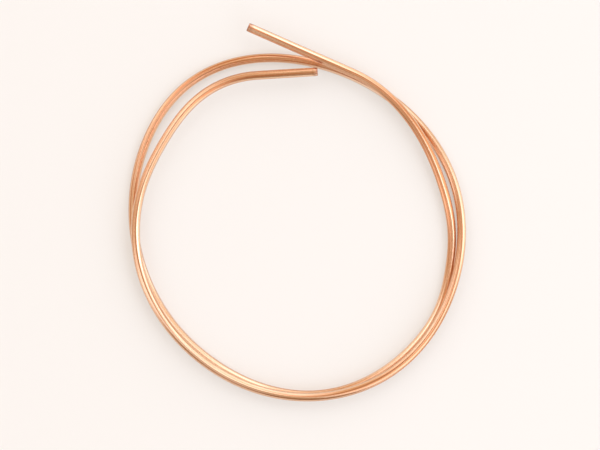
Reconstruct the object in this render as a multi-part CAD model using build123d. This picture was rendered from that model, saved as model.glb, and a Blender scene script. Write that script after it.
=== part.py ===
from build123d import *

import os
from math import cos, radians, sin, sqrt

import numpy as np

# Copper tube coil: one length of soft-drawn capillary tube, wound by hand into two loose laps.
# It lies flat on a level floor. +Z is up, the origin is on the floor under the middle of the
# coil's box, and angles run counter-clockwise about the winding axis, from +X.

# Tube stock: 1/8 inch outside diameter, 0.030 inch wall
tube_outside_diameter = 3.175
tube_wall = 0.762

# Winding: the radius that the stations start from, and the air between laps that cross
coil_radius = 58.0
lap_clearance = 0.12

# The two straight ends: length, heading in degrees from +X, and rise per mm along the tube
inner_end_length = 21.5
inner_end_heading = 183.4
inner_end_rise = -0.018
outer_end_length = 40.5
outer_end_heading = 156.7
outer_end_rise = 0.07

# Cut ends: the cutter's wheel rolls the rim inwards, and then the bore is reamed
rolled_length = 1.3
rolled_depth = 0.11
rim_rounding = 0.10
ream = 0.22

# The laps are a chain of tangent arcs, two for each step of the angle
arc_step = 20.0

# Stations of the laps, chosen from the photograph, between the two straight ends: the angle
# turned, how far the tube is outside coil_radius, and how far it is lifted off the floor. Both
# distances are counted in tubes, so laps that cross stay clear of each other at any tube size.
stations = [
    (105.0, -0.40, 1.42),
    (126.0, 0.22, 1.30),
    (146.0, -0.22, 1.18),
    (168.0, -0.10, 1.08),
    (192.0, 0.00, 1.05),
    (225.0, -0.12, 1.05),
    (240.0, -0.02, 1.05),
    (265.0, 0.35, 1.05),
    (303.0, 0.75, 1.00),
    (340.0, 0.18, 0.82),
    (375.0, 0.00, 0.20),
    (405.0, -0.22, 0.00),
    (440.0, 0.34, 0.00),
    (466.0, 1.60, 0.00),
    (486.0, 2.19, 0.00),
    (510.0, 1.45, 0.00),
    (540.0, 0.25, 0.00),
    (572.0, -0.46, 0.00),
    (600.0, -0.42, 0.00),
    (640.0, 0.45, 0.00),
    (672.0, 0.18, 0.00),
    (690.0, -0.13, 0.00),
    (705.0, -0.68, 0.02),
    (718.0, -0.96, 0.14),
    (738.0, -1.32, 0.45),
    (768.0, -0.58, 1.05),
    (791.0, 0.28, 1.22),
]

bore_radius = tube_outside_diameter / 2 - tube_wall
spacing = tube_outside_diameter + lap_clearance


def end_slopes(angle, outward, heading, rise):
    """Change of radius and of height, in mm per degree, where a straight end leaves the laps."""
    radius = coil_radius + outward * spacing
    across = radians(heading - angle)
    along = radius * radians(1) / sin(across)
    return along * cos(across), along * rise


def smooth_slopes(angles, values, first, last):
    """Slope at each station of the curve through all of them that bends most evenly."""
    gaps = np.diff(angles)
    climbs = np.diff(values) / gaps
    rows = np.eye(len(angles))
    sides = np.array([first, *np.zeros(len(angles) - 2), last])
    for i in range(1, len(angles) - 1):
        rows[i, i - 1 : i + 2] = gaps[i], 2 * (gaps[i - 1] + gaps[i]), gaps[i - 1]
        sides[i] = 3 * (gaps[i] * climbs[i - 1] + gaps[i - 1] * climbs[i])
    return np.linalg.solve(rows, sides)


def along_curve(angle, angles, values, slopes):
    """Value and slope at an angle of the curve that has these values and slopes at its stations."""
    i = min(np.searchsorted(angles, angle, side="right"), len(angles) - 1) - 1
    gap = angles[i + 1] - angles[i]
    t = (angle - angles[i]) / gap
    climb = (values[i + 1] - values[i]) / gap
    bow = slopes[i] + slopes[i + 1] - 2 * climb
    lean = 3 * climb - 2 * slopes[i] - slopes[i + 1]
    value = values[i] + gap * t * (slopes[i] + t * (lean + t * bow))
    return value, slopes[i] + t * (2 * lean + 3 * t * bow)


def lap_points():
    """Points along the laps' centre line, arc_step apart, each with the heading there."""
    angles, outward, lifted = np.array(stations).T
    radii = coil_radius + outward * spacing
    heights = tube_outside_diameter / 2 + lifted * spacing
    start = end_slopes(angles[0], outward[0], inner_end_heading, inner_end_rise)
    end = end_slopes(angles[-1] % 360, outward[-1], outer_end_heading, outer_end_rise)
    radius_slopes = smooth_slopes(angles, radii, start[0], end[0])
    height_slopes = smooth_slopes(angles, heights, start[1], end[1])
    steps = round((angles[-1] - angles[0]) / arc_step)
    points = []
    for angle in np.linspace(angles[0], angles[-1], steps + 1):
        radius, widening = along_curve(angle, angles, radii, radius_slopes)
        height, climb = along_curve(angle, angles, heights, height_slopes)
        turn = radians(angle)
        outwards = Vector(cos(turn), sin(turn), 0)
        around = Vector(-sin(turn), cos(turn), 0)
        place = outwards * radius + Vector(0, 0, height)
        heading = outwards * widening + around * (radius * radians(1)) + Vector(0, 0, climb)
        points.append((place, heading.normalized()))
    return points


def bend(start, start_heading, end, end_heading):
    """Two arcs, tangent to each other, that leave start and reach end along the headings."""
    span = end - start
    mean = start_heading + end_heading
    spread = 2 * (1 - start_heading.dot(end_heading))
    reach = (sqrt(span.dot(mean) ** 2 + spread * span.dot(span)) - span.dot(mean)) / spread
    middle = (start + end + (start_heading - end_heading) * reach) * 0.5
    middle_heading = span - mean * reach
    return [
        Edge.make_tangent_arc(start, start_heading, middle),
        Edge.make_tangent_arc(middle, middle_heading, end),
    ]


def centre_line():
    """The tube's centre line, from the inner end to the outer end."""
    points = lap_points()
    first, first_heading = points[0]
    last, last_heading = points[-1]
    inner_tip = first - first_heading * inner_end_length
    outer_tip = last + last_heading * outer_end_length
    edges = [Edge.make_line(inner_tip, first)]
    for (start, start_heading), (end, end_heading) in zip(points, points[1:]):
        edges += bend(start, start_heading, end, end_heading)
    edges.append(Edge.make_line(last, outer_tip))
    return Wire(edges)


def cut_face(tube, tip):
    """The flat face of the cut end at tip, with its outer and its inner edge."""
    face = tube.faces().filter_by(GeomType.PLANE).sort_by_distance(tip)[0]
    outer, inner = face.edges().sort_by(SortBy.LENGTH, reverse=True)
    return face, outer, inner


def dressed_end(tube, tip):
    """The tube with the square end at tip rolled in, its rim rounded and its bore reamed."""
    face, outer, inner = cut_face(tube, tip)
    tube = tube.chamfer(rolled_depth, rolled_length, [outer], face)
    face, outer, inner = cut_face(tube, tip)
    tube = tube.fillet(rim_rounding, [outer])
    face, outer, inner = cut_face(tube, tip)
    return tube.chamfer(ream, None, [inner])


def copper_tube():
    """The hollow tube along its centre line, with its two cut ends dressed."""
    route = centre_line()
    section_plane = Plane(origin=route @ 0, z_dir=route % 0)
    section = section_plane * (Circle(tube_outside_diameter / 2) - Circle(bore_radius))
    tube = sweep(section, path=route).solid()
    for tip in (route @ 0, route @ 1):
        tube = dressed_end(tube, tip)
    return tube


tube = copper_tube()
box = tube.bounding_box()
tube = tube.moved(Location((-box.center().X, -box.center().Y, -box.min.Z)))

os.makedirs("parts", exist_ok=True)
export_step(tube, "parts/copper_tube.step")
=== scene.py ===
import bpy
import numpy as np
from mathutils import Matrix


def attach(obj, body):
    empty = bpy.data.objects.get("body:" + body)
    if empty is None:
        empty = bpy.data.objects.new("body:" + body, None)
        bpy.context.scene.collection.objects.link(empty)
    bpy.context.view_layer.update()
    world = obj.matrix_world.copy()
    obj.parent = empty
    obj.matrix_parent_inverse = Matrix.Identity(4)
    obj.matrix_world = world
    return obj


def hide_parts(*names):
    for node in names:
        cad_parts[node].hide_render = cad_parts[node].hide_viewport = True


# Copper tube coil: a length of 1/8 inch drawn copper tube, wound by hand into two loose laps,
# lying on a pale floor and seen from straight above. Everything is in metres, +Z up.

bl_info = {
    "name": "Copper Tube Coil",
    "version": (1, 0, 0),
    "blender": (4, 5, 0),
    "location": "View3D > Sidebar > Copper Coil",
    "description": "Builds a loose coil of drawn copper tube and the studio it is seen in",
    "category": "Add Mesh",
}

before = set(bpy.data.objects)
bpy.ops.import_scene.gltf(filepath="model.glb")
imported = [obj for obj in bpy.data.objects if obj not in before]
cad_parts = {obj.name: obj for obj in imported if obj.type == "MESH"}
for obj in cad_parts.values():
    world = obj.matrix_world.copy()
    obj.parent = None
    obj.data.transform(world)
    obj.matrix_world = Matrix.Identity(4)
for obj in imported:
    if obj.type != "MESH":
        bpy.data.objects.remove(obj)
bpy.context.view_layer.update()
MM = 0.001
INCH = 0.0254

# The coil's stations between its straight ends: the angle turned in degrees, how far the tube
# is outside the winding radius, and how far it is lifted off the floor, both counted in tubes.
STATIONS = (
    (105.0, -0.40, 1.42),
    (126.0, 0.22, 1.30),
    (146.0, -0.22, 1.18),
    (168.0, -0.10, 1.08),
    (192.0, 0.00, 1.05),
    (225.0, -0.12, 1.05),
    (240.0, -0.02, 1.05),
    (265.0, 0.35, 1.05),
    (303.0, 0.75, 1.00),
    (340.0, 0.18, 0.82),
    (375.0, 0.00, 0.20),
    (405.0, -0.22, 0.00),
    (440.0, 0.34, 0.00),
    (466.0, 1.60, 0.00),
    (486.0, 2.19, 0.00),
    (510.0, 1.45, 0.00),
    (540.0, 0.25, 0.00),
    (572.0, -0.46, 0.00),
    (600.0, -0.42, 0.00),
    (640.0, 0.45, 0.00),
    (672.0, 0.18, 0.00),
    (690.0, -0.13, 0.00),
    (705.0, -0.68, 0.02),
    (718.0, -0.96, 0.14),
    (738.0, -1.32, 0.45),
    (768.0, -0.58, 1.05),
    (791.0, 0.28, 1.22),
)
WINDING_RADIUS = 58.0 * MM
LAP_CLEARANCE = 0.12 * MM
INNER_END_HEADING, INNER_END_RISE = 183.4, -0.018
OUTER_END_HEADING, OUTER_END_RISE = 156.7, 0.07
# How finely the centre line is drawn: points on the laps, the inner end and the outer end
LAP_POINTS, INNER_POINTS, OUTER_POINTS = 6000, 40, 60

# The photograph's frame: 600 by 450 pixels, at 70.9 pixels to the inch on the floor
PHOTO_WIDTH_PX = 600
PX_PER_INCH = 70.9
# The point of the floor under the middle of that frame, in the part's own frame
FRAME_CENTRE = (1.037 * MM, -4.343 * MM)


class TubeSizes(bpy.types.PropertyGroup):
    """Sizes of the tube and of its two cut ends."""

    diameter: bpy.props.FloatProperty(
        name="Outside diameter", description="1/8 inch capillary tube",
        default=3.175 * MM, unit="LENGTH", precision=5,
    )
    wall: bpy.props.FloatProperty(
        name="Wall", description="Thickness of the tube's wall",
        default=0.762 * MM, unit="LENGTH", precision=5,
    )
    inner_end: bpy.props.FloatProperty(
        name="Inner straight end", description="Length of the straight end inside the coil",
        default=21.5 * MM, unit="LENGTH", precision=4,
    )
    outer_end: bpy.props.FloatProperty(
        name="Outer straight end", description="Length of the straight end that crosses over",
        default=40.5 * MM, unit="LENGTH", precision=4,
    )
    rolled_length: bpy.props.FloatProperty(
        name="Rolled length", description="Length that the cutter's wheel rolled inwards",
        default=1.3 * MM, unit="LENGTH", precision=5,
    )
    rolled_depth: bpy.props.FloatProperty(
        name="Rolled depth", description="How far the rim is rolled in",
        default=0.11 * MM, unit="LENGTH", precision=5,
    )
    rim: bpy.props.FloatProperty(
        name="Rim rounding", description="Radius of the rim's outer edge",
        default=0.10 * MM, unit="LENGTH", precision=5,
    )
    ream: bpy.props.FloatProperty(
        name="Ream", description="Bevel that the reamer left at the mouth of the bore",
        default=0.22 * MM, unit="LENGTH", precision=5,
    )
    draw_depth: bpy.props.FloatProperty(
        name="Draw marks", description="Depth of the long shallow marks that the die leaves",
        default=0.008 * MM, unit="LENGTH", precision=6,
    )
    bent_oval: bpy.props.FloatProperty(
        name="Bent oval", description="How far bending squeezes the tube across the coil",
        default=0.02 * MM, unit="LENGTH", precision=6,
    )
    ring_step: bpy.props.FloatProperty(
        name="Ring step", description="Distance between the mesh's rings along the tube",
        default=1.0 * MM, unit="LENGTH", precision=5,
    )
    around: bpy.props.IntProperty(
        name="Points around", description="Points in each ring", default=96, min=24,
    )


class CopperLook(bpy.types.PropertyGroup):
    """Colours of the copper, as sRGB hex values."""

    bright: bpy.props.StringProperty(
        name="Bright", description="Freshly drawn copper", default="#FBDEC3",
    )
    warm: bpy.props.StringProperty(
        name="Warm", description="Handled, faintly oxidised copper", default="#EFC6A2",
    )
    dull: bpy.props.StringProperty(
        name="Dull", description="Brown film in the draw lines", default="#D18750",
    )
    # painted shade: a darker copper colour at the cut ends that stands in for the dark reflection of
    # their rolled-in ends, not scuffing
    end_shade: bpy.props.StringProperty(
        name="Worn", description="Scuffed copper at the cut ends", default="#A8705A",
    )


class StudioLook(bpy.types.PropertyGroup):
    """The floor's colour and the camera's height."""

    floor: bpy.props.StringProperty(
        name="Floor", description="Pale warm board", default="#F0F0EC",
    )
    camera_height: bpy.props.FloatProperty(
        name="Camera height", description="Height of the camera above the floor",
        default=0.70, unit="LENGTH",
    )


def linear(hex_colour):
    """An sRGB hex value as linear red, green, blue and alpha."""
    value = np.array([int(hex_colour[i : i + 2], 16) for i in (1, 3, 5)]) / 255
    low, high = value / 12.92, ((value + 0.055) / 1.055) ** 2.4
    return (*np.where(value <= 0.04045, low, high), 1.0)


def end_slopes(angle, radius, heading, rise):
    """Change of radius and of height per degree where a straight end meets the laps."""
    across = np.radians(heading - angle)
    along = radius * np.radians(1) / np.sin(across)
    return along * np.cos(across), along * rise


def smooth_slopes(angles, values, first, last):
    """Slope at each station of the cubic curve through all of them with continuous curvature."""
    gaps = np.diff(angles)
    climbs = np.diff(values) / gaps
    rows = np.diag([1.0, *2 * (gaps[:-1] + gaps[1:]), 1.0])
    inner = np.arange(1, len(angles) - 1)
    rows[inner, inner - 1] = gaps[1:]
    rows[inner, inner + 1] = gaps[:-1]
    sides = np.array([first, *3 * (gaps[1:] * climbs[:-1] + gaps[:-1] * climbs[1:]), last])
    return np.linalg.solve(rows, sides)


def along_curve(angle, angles, values, slopes):
    """The cubic curve's value at each angle, from the values and slopes at its stations."""
    i = np.clip(np.searchsorted(angles, angle, side="right") - 1, 0, len(angles) - 2)
    gap = angles[i + 1] - angles[i]
    t = (angle - angles[i]) / gap
    climb = (values[i + 1] - values[i]) / gap
    bow = slopes[i] + slopes[i + 1] - 2 * climb
    lean = 3 * climb - 2 * slopes[i] - slopes[i + 1]
    return values[i] + gap * t * (slopes[i] + t * (lean + t * bow))


def unit(vectors):
    """Each row's direction, one unit long."""
    return vectors / np.linalg.norm(vectors, axis=-1, keepdims=True)


def winding_line(sizes):
    """Points of the whole centre line about the winding axis, from the inner to the outer tip.

    Radius and height are cubic curves of the angle turned; each end is a straight run."""
    angles, outward, lifted = np.array(STATIONS).T
    spacing = sizes.diameter + LAP_CLEARANCE
    radii = WINDING_RADIUS + outward * spacing
    heights = sizes.diameter / 2 + lifted * spacing
    start = end_slopes(angles[0], radii[0], INNER_END_HEADING, INNER_END_RISE)
    end = end_slopes(angles[-1] % 360, radii[-1], OUTER_END_HEADING, OUTER_END_RISE)
    turned = np.linspace(angles[0], angles[-1], LAP_POINTS)
    radius = along_curve(turned, angles, radii, smooth_slopes(angles, radii, start[0], end[0]))
    height = along_curve(turned, angles, heights, smooth_slopes(angles, heights, start[1], end[1]))
    turn = np.radians(turned)
    laps = np.stack([radius * np.cos(turn), radius * np.sin(turn), height], axis=1)
    first, last = unit(laps[0] - laps[1]), unit(laps[-1] - laps[-2])
    before = np.linspace(sizes.inner_end, 0, INNER_POINTS, endpoint=False)
    after = np.linspace(0, sizes.outer_end, OUTER_POINTS)[1:]
    return np.vstack([laps[0] + first * before[:, None], laps, laps[-1] + last * after[:, None]])


def distance_along(line):
    """Distance travelled along a line from its first point to each of its points."""
    steps = np.linalg.norm(np.diff(line, axis=0), axis=1)
    return np.concatenate([[0], np.cumsum(steps)])


def ring_profile(sizes, length):
    """Distance along the tube and radius of every ring, once round the wall and back.

    It goes out of the bore at the inner tip, over the reamed mouth, the cut face, the rounded
    rim and the rolled-in end, along the outside, and the same way back at the outer tip."""
    radius, bore = sizes.diameter / 2, sizes.diameter / 2 - sizes.wall
    rim_radius = radius - sizes.rolled_depth
    mouth = [(sizes.ream * t, bore + sizes.ream * (1 - t)) for t in (1.0, 0.5, 0.0)]
    face = [(0.0, r) for r in np.linspace(bore + sizes.ream, rim_radius - sizes.rim, 4)[1:]]
    bend = np.radians([22.5, 45, 67.5, 90])
    rim = [(sizes.rim * (1 - np.cos(b)), rim_radius - sizes.rim * (1 - np.sin(b))) for b in bend]
    t = np.linspace(0, 1, 9)[1:]
    rolled = np.stack([
        sizes.rim + (sizes.rolled_length - sizes.rim) * t,
        rim_radius + sizes.rolled_depth * np.sin(t * np.pi / 2),
    ], axis=1)
    end = np.vstack([mouth, face, rim, rolled])
    straight = sizes.rolled_length
    outside = np.linspace(straight, length - straight, int((length - 2 * straight) / sizes.ring_step))
    inside = np.linspace(length - sizes.ream, sizes.ream, int(length / (5 * sizes.ring_step)))
    far_end = end[::-1] * (-1, 1) + (length, 0)
    rings = [end, np.stack([outside, np.full(len(outside), radius)], axis=1)[1:-1], far_end]
    rings.append(np.stack([inside, np.full(len(inside), bore)], axis=1)[1:-1])
    return np.vstack(rings)


# Marks of the die: how many go round the tube, and how far along it each one drifts once round
DRAW_MARKS = ((5, 1.9), (8, -1.3), (11, 0.8), (13, -0.6))
# They also sway to and fro round the tube: by how many radians of the wave, and over what length
SWAY, SWAY_LENGTH = 2.0, 0.17


def surface_marks(sizes, rings, turn):
    """How far each point of a ring stands off the true circle.

    The marks are waves round the tube, each drifting slowly as it goes along, and bending adds
    one wave of two lobes that squeezes the tube across the coil. The bore has none of them."""
    along, radius = rings[:, 0, None], rings[:, 1, None]
    marks = -sizes.bent_oval * np.cos(2 * turn) * np.ones_like(along)
    for lobes, drift in DRAW_MARKS:
        sway = SWAY * np.sin(2 * np.pi * along / SWAY_LENGTH + lobes)
        wander = 2 * np.pi * along / drift + sway
        marks = marks + sizes.draw_depth * np.cos(lobes * turn + wander)
    bore = sizes.diameter / 2 - sizes.wall
    return marks * np.clip((radius - bore) / sizes.wall, 0, 1)


def tube_mesh(name, sizes):
    """The tube's wall as one closed surface: rings of a profile carried along the centre line.

    A point is the centre line's point, plus the ring's radius times the cosine of its angle to
    the side and the sine upwards."""
    line = winding_line(sizes)
    travelled = distance_along(line)
    way = unit(np.gradient(line, travelled, axis=0))
    rings = ring_profile(sizes, travelled[-1])
    place = np.stack([np.interp(rings[:, 0], travelled, line[:, i]) for i in range(3)], axis=1)
    ahead = unit(np.stack([np.interp(rings[:, 0], travelled, way[:, i]) for i in range(3)], axis=1))
    side = unit(np.cross(ahead, (0, 0, 1)))
    above = np.cross(side, ahead)
    # the first point of a ring is underneath, so the seam of the UV map lies on the floor
    turn = np.linspace(-np.pi / 2, 1.5 * np.pi, sizes.around, endpoint=False)
    outwards = side[:, None] * np.cos(turn)[:, None] + above[:, None] * np.sin(turn)[:, None]
    reach = rings[:, 1, None] + surface_marks(sizes, rings, turn)
    points = place[:, None] + outwards * reach[..., None]
    # the part's origin is on the floor under the middle of its box
    low, high = points.min(axis=(0, 1)), points.max(axis=(0, 1))
    points -= (*(low + high)[:2] / 2, low[2])

    rows, columns = points.shape[:2]
    row, column = np.meshgrid(np.arange(rows), np.arange(columns), indexing="ij")
    next_row, next_column = (row + 1) % rows, (column + 1) % columns
    corners = np.stack([
        row * columns + column,
        row * columns + next_column,
        next_row * columns + next_column,
        next_row * columns + column,
    ], axis=-1).reshape(-1, 4)
    mesh = bpy.data.meshes.new(name)
    mesh.from_pydata(points.reshape(-1, 3).tolist(), [], corners.tolist())
    mesh.shade_smooth()
    lay_uv(mesh, rings[:, 0], columns, np.pi * sizes.diameter)
    return mesh


def lay_uv(mesh, travelled, columns, girth):
    """UV map of the wall: U is metres along the tube, V is metres round its outside."""
    rows = len(travelled)
    row, column = np.meshgrid(np.arange(rows), np.arange(columns), indexing="ij")
    here, ahead = travelled[row], travelled[(row + 1) % rows]
    u = np.stack([here, here, ahead, ahead], axis=-1)
    v = np.stack([column, column + 1, column + 1, column], axis=-1) / columns * girth
    layer = mesh.uv_layers.new(name="along_and_round")
    layer.uv.foreach_set("vector", np.stack([u, v], axis=-1).astype("f").ravel())


def add(tree, kind, links=None, **settings):
    """A node with its settings, and links from other nodes' sockets to its inputs."""
    node = tree.nodes.new(kind)
    for key, value in settings.items():
        if key.startswith("in_"):
            name = key[3:]
            node.inputs[int(name) if name.isdigit() else name.replace("_", " ")].default_value = value
        else:
            setattr(node, key, value)
    for name, socket in (links or {}).items():
        tree.links.new(socket, node.inputs[name])
    return node


def new_material(name):
    """An empty node material with its output node."""
    material = bpy.data.materials.new(name)
    material.use_nodes = True
    material.node_tree.nodes.clear()
    return material, material.node_tree, material.node_tree.nodes.new("ShaderNodeOutputMaterial")


# Patterns on the copper: repeats to the millimetre along the tube and round it. Real draw lines
# are some 0.05 mm apart; these are drawn some 0.8 and 0.4 mm apart, because finer ones don't show.
BROAD_LINES = (0.008 / MM, 1.3 / MM, 1)
FINE_LINES = (0.011 / MM, 2.5 / MM, 1)
# Patches of film are some 20 mm long and 3 mm wide, and the patches of painted shade at the cut ends 1
# mm by 3 mm
FILM_PATCHES = (0.05 / MM, 0.35 / MM, 1)
END_SHADE_PATCHES = (0.9 / MM, 0.3 / MM, 1)


def drawn_copper(look, length):
    """Drawn copper tube: pulled through a die, which leaves it bright with fine lines along it.

    The lines spread a lamp's reflection round the tube and keep it sharp along the tube."""
    material, tree, output = new_material("drawn_copper")
    uv = add(tree, "ShaderNodeUVMap", uv_map="along_and_round")
    broad_at = add(tree, "ShaderNodeMapping", {"Vector": uv.outputs["UV"]}, in_Scale=BROAD_LINES)
    broad = add(
        tree, "ShaderNodeTexNoise", {"Vector": broad_at.outputs["Vector"]},
        in_Scale=1.0, in_Detail=1.0,
    )
    fine_at = add(
        tree, "ShaderNodeMapping", {"Vector": uv.outputs["UV"]},
        in_Scale=FINE_LINES, in_Location=(7, 3, 0),
    )
    fine = add(
        tree, "ShaderNodeTexNoise", {"Vector": fine_at.outputs["Vector"]},
        in_Scale=1.0, in_Detail=1.0,
    )
    # a thin oxide film from handling
    film_at = add(tree, "ShaderNodeMapping", {"Vector": uv.outputs["UV"]}, in_Scale=FILM_PATCHES)
    film = add(
        tree, "ShaderNodeTexNoise", {"Vector": film_at.outputs["Vector"]},
        in_Scale=1.0, in_Detail=4.0,
    )
    broad_mask = add(
        tree, "ShaderNodeMapRange", {"Value": broad.outputs["Fac"]}, in_From_Min=0.40, in_From_Max=0.60,
    )
    fine_mask = add(
        tree, "ShaderNodeMapRange", {"Value": fine.outputs["Fac"]}, in_From_Min=0.45, in_From_Max=0.62,
    )
    film_mask = add(
        tree, "ShaderNodeMapRange", {"Value": film.outputs["Fac"]},
        in_From_Min=0.45, in_From_Max=0.75, in_To_Max=0.5,
    )
    lined = add(
        tree, "ShaderNodeMix", {"Factor": broad_mask.outputs["Result"]}, data_type="RGBA",
        in_6=linear(look.bright), in_7=linear(look.warm),
    )
    filmed = add(
        tree, "ShaderNodeMix", {"Factor": film_mask.outputs["Result"], 6: lined.outputs[2]},
        data_type="RGBA", in_7=linear(look.warm),
    )
    scored = add(
        tree, "ShaderNodeMath", {0: fine_mask.outputs["Result"]}, operation="MULTIPLY", in_1=0.85,
    )
    colour = add(
        tree, "ShaderNodeMix", {"Factor": scored.outputs["Value"], 6: filmed.outputs[2]},
        data_type="RGBA", in_7=linear(look.dull),
    )
    rough = add(
        tree, "ShaderNodeMapRange", {"Value": broad_mask.outputs["Result"]},
        in_To_Min=0.11, in_To_Max=0.27,
    )
    relief = add(
        tree, "ShaderNodeMath", {0: fine.outputs["Fac"], 1: broad.outputs["Fac"]}, operation="ADD",
    )
    bump = add(
        tree, "ShaderNodeBump", {"Height": relief.outputs["Value"]},
        in_Strength=1.0, in_Distance=0.13 * MM,
    )
    tangent = add(tree, "ShaderNodeTangent", direction_type="UV_MAP", uv_map="along_and_round")
    # painted shade at the cut ends: patches of darker copper mixed in near either tip, in place of the
    # dark reflection there
    cut = end_shade_mask(tree, uv, length)
    end_shade = add(
        tree, "ShaderNodeMix", {"Factor": cut, 6: colour.outputs[2]},
        data_type="RGBA", in_7=linear(look.end_shade),
    )
    shader = add(
        tree, "ShaderNodeBsdfPrincipled",
        {
            "Base Color": end_shade.outputs[2],
            "Roughness": rough.outputs["Result"],
            "Normal": bump.outputs["Normal"],
            "Tangent": tangent.outputs["Tangent"],
        },
        in_Metallic=1.0, in_Anisotropic=0.9, in_Anisotropic_Rotation=0.25,
        in_Coat_Weight=0.15, in_Coat_Roughness=0.15, in_Coat_IOR=1.5,
    )
    tree.links.new(shader.outputs["BSDF"], output.inputs["Surface"])
    return material


def end_shade_mask(tree, uv, length):
    """A mask of painted shade at the two ends, where the cutter's wheel rolled them: darker copper in
    patches that stands in for the dark reflection of the rolled-in ends.

    It starts 2.2 mm from either tip of the tube and is full 0.8 mm from it."""
    starts, full = 2.2 * MM, 0.8 * MM
    place = add(tree, "ShaderNodeSeparateXYZ", {"Vector": uv.outputs["UV"]})
    halfway = add(
        tree, "ShaderNodeMath", {0: place.outputs["X"]}, operation="SUBTRACT", in_1=length / 2,
    )
    away = add(tree, "ShaderNodeMath", {0: halfway.outputs["Value"]}, operation="ABSOLUTE")
    near = add(
        tree, "ShaderNodeMapRange", {"Value": away.outputs["Value"]},
        in_From_Min=length / 2 - starts, in_From_Max=length / 2 - full,
    )
    end_shade_at = add(tree, "ShaderNodeMapping", {"Vector": uv.outputs["UV"]}, in_Scale=END_SHADE_PATCHES)
    end_shade_noise = add(
        tree, "ShaderNodeTexNoise", {"Vector": end_shade_at.outputs["Vector"]},
        in_Scale=1.0, in_Detail=3.0,
    )
    patches = add(
        tree, "ShaderNodeMapRange", {"Value": end_shade_noise.outputs["Fac"]},
        in_From_Min=0.35, in_From_Max=0.60,
    )
    end_shade = add(
        tree, "ShaderNodeMath", {0: near.outputs["Result"], 1: patches.outputs["Result"]},
        operation="MULTIPLY",
    )
    return end_shade.outputs["Value"]


# The share of the board that shows its own colour, whatever the light
BOARD_GLOW = 0.45


def pale_board(look):
    """Matt painted board, bright enough that shadows on it stay light.

    Nearly half of what the camera and the copper see of it is its own colour."""
    material, tree, output = new_material("pale_board")
    board = add(tree, "ShaderNodeBsdfDiffuse", in_Color=linear(look.floor))
    glow = add(tree, "ShaderNodeEmission", in_Color=linear(look.floor))
    rays = add(tree, "ShaderNodeLightPath")
    seen = add(
        tree, "ShaderNodeMath",
        {0: rays.outputs["Is Camera Ray"], 1: rays.outputs["Is Glossy Ray"]}, operation="ADD",
    )
    through = add(
        tree, "ShaderNodeMath",
        {0: seen.outputs["Value"], 1: rays.outputs["Is Transmission Ray"]}, operation="ADD",
    )
    share = add(
        tree, "ShaderNodeMath", {0: through.outputs["Value"]},
        operation="MULTIPLY", in_1=BOARD_GLOW,
    )
    mixed = add(
        tree, "ShaderNodeMixShader",
        {0: share.outputs["Value"], 1: board.outputs["BSDF"], 2: glow.outputs["Emission"]},
    )
    tree.links.new(mixed.outputs["Shader"], output.inputs["Surface"])
    return material


class COIL_OT_copper_tube(bpy.types.Operator):
    """Build the copper tube, from its inner tip round both laps to its outer tip"""

    bl_idname = "coil.copper_tube"
    bl_label = "Copper tube"

    def execute(self, context):
        scene = context.scene
        mesh = tube_mesh("copper_tube_wall", scene.coil_tube)
        piece = bpy.data.objects.new("copper_tube_wall", mesh)
        scene.collection.objects.link(piece)
        length = distance_along(winding_line(scene.coil_tube))[-1]
        mesh.materials.append(drawn_copper(scene.coil_copper, length))
        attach(piece, "root")
        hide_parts("copper_tube")
        return {"FINISHED"}


class COIL_OT_studio(bpy.types.Operator):
    """Set the floor, the lamps and the camera straight above the coil"""

    bl_idname = "coil.studio"
    bl_label = "Studio"

    def execute(self, context):
        scene = context.scene
        look = scene.coil_studio
        lay_floor(look)
        hang_lamps()
        aim_camera(scene, look)
        scene.view_settings.view_transform = "Standard"
        return {"FINISHED"}


def lay_floor(look):
    """A flat square floor under the coil."""
    half = FLOOR_SIZE / 2
    mesh = bpy.data.meshes.new("floor")
    corners = [(-half, -half, 0), (half, -half, 0), (half, half, 0), (-half, half, 0)]
    mesh.from_pydata(corners, [], [(0, 1, 2, 3)])
    mesh.materials.append(pale_board(look))
    floor = bpy.data.objects.new("floor", mesh)
    bpy.context.scene.collection.objects.link(floor)


# Softboxes round the coil: azimuth and tilt from overhead in degrees, width and length in
# metres, and brightness, where 1 is a white floor
SOFTBOXES = (
    (4, 58, 0.80, 1.50, 1.75),
    (66, 56, 0.80, 1.50, 1.35),
    (142, 46, 0.60, 1.00, 1.40),
    (202, 54, 0.46, 1.50, 1.15),
    (243, 52, 0.44, 1.40, 0.35),
    (315, 50, 0.74, 1.50, 1.80),
)
SOFTBOX_COLOUR = (0.91, 1.0, 1.20)
SOFTBOX_DISTANCE = 1.2
# Each softbox fades towards its sides: layers of its width, each with a share of its brightness
SOFTBOX_LAYERS = ((0.4, 0.30), (1.0, 0.40), (1.5, 0.30))
# Lamps in one plane hide each other, so each layer hangs this far behind the one before
LAYER_GAP = 0.02

ROOM_COLOUR = "#FFD8B0"
# The room's brightness towards the bottom and towards the top of the picture, and the Y of the
# directions between which it changes from one to the other
ROOM_NEAR, ROOM_FAR = 0.38, 0.84
ROOM_FROM, ROOM_TO = -0.8, 0.6

# The floor reaches far past the picture on every side
FLOOR_SIZE = 3.0
CAMERA_SENSOR_MM = 36


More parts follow.
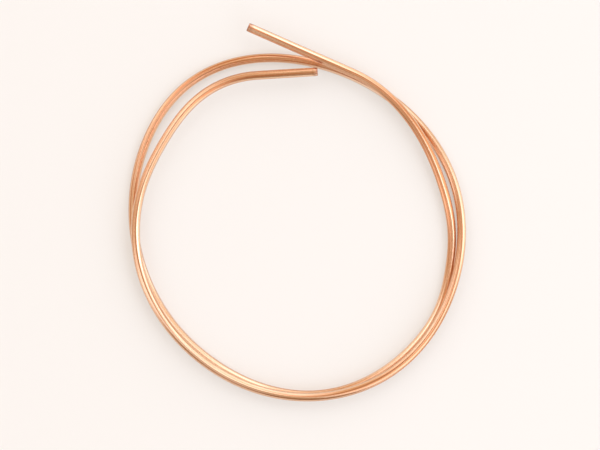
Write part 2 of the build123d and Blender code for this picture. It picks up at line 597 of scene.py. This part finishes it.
def hang_lamps():
    """Softboxes that face the coil from round it, and a dim even room."""
    scene = bpy.context.scene
    for azimuth, tilt, width, length, brightness in SOFTBOXES:
        a, t = np.radians(azimuth), np.radians(tilt)
        away = np.array([np.cos(a) * np.sin(t), np.sin(a) * np.sin(t), np.cos(t)])
        for behind, (widened, share) in enumerate(SOFTBOX_LAYERS):
            lamp = bpy.data.lights.new("softbox_%d" % azimuth, "AREA")
            lamp.shape = "RECTANGLE"
            lamp.size, lamp.size_y = width * widened, length
            lamp.color = SOFTBOX_COLOUR
            # an area lamp's brightness is its power over its area and pi
            lamp.energy = brightness * share * np.pi * lamp.size * lamp.size_y
            holder = bpy.data.objects.new(lamp.name, lamp)
            holder.location = (SOFTBOX_DISTANCE + LAYER_GAP * behind) * away
            holder.rotation_euler = (t, 0, a + np.pi / 2)
            scene.collection.objects.link(holder)
    light_room(scene)


def light_room(scene):
    """A dim warm room, darkest towards the bottom of the picture."""
    world = bpy.data.worlds.new("room")
    scene.world = world
    world.use_nodes = True
    tree = world.node_tree
    place = add(tree, "ShaderNodeTexCoord")
    direction = add(tree, "ShaderNodeSeparateXYZ", {"Vector": place.outputs["Generated"]})
    strength = add(
        tree, "ShaderNodeMapRange", {"Value": direction.outputs["Y"]},
        in_From_Min=ROOM_FROM, in_From_Max=ROOM_TO, in_To_Min=ROOM_NEAR, in_To_Max=ROOM_FAR,
    )
    background = tree.nodes["Background"]
    background.inputs["Color"].default_value = linear(ROOM_COLOUR)
    tree.links.new(strength.outputs["Result"], background.inputs["Strength"])


def aim_camera(scene, look):
    """A camera that looks straight down and frames the floor as the photograph does."""
    width = PHOTO_WIDTH_PX / PX_PER_INCH * INCH
    camera = bpy.data.cameras.new("camera")
    camera.sensor_width = CAMERA_SENSOR_MM
    camera.lens = CAMERA_SENSOR_MM * look.camera_height / width
    camera.clip_start = 0.01
    holder = bpy.data.objects.new("camera", camera)
    holder.location = (*FRAME_CENTRE, look.camera_height)
    scene.collection.objects.link(holder)
    scene.camera = holder


class COIL_PT_sidebar(bpy.types.Panel):
    """Buttons that build the coil, and its sizes and colours."""

    bl_label = "Copper Coil"
    bl_idname = "COIL_PT_sidebar"
    bl_space_type = "VIEW_3D"
    bl_region_type = "UI"
    bl_category = "Copper Coil"

    def draw(self, context):
        for operator in (COIL_OT_copper_tube, COIL_OT_studio):
            self.layout.operator(operator.bl_idname)
        for group in (context.scene.coil_tube, context.scene.coil_copper, context.scene.coil_studio):
            for name in group.__annotations__:
                self.layout.prop(group, name)


CLASSES = (TubeSizes, CopperLook, StudioLook, COIL_OT_copper_tube, COIL_OT_studio, COIL_PT_sidebar)


def register():
    for item in CLASSES:
        bpy.utils.register_class(item)
    bpy.types.Scene.coil_tube = bpy.props.PointerProperty(type=TubeSizes)
    bpy.types.Scene.coil_copper = bpy.props.PointerProperty(type=CopperLook)
    bpy.types.Scene.coil_studio = bpy.props.PointerProperty(type=StudioLook)


def unregister():
    del bpy.types.Scene.coil_studio
    del bpy.types.Scene.coil_copper
    del bpy.types.Scene.coil_tube
    for item in reversed(CLASSES):
        bpy.utils.unregister_class(item)


def main():
    register()
    bpy.ops.coil.copper_tube()
    bpy.ops.coil.studio()


if __name__ == "__main__":
    main()
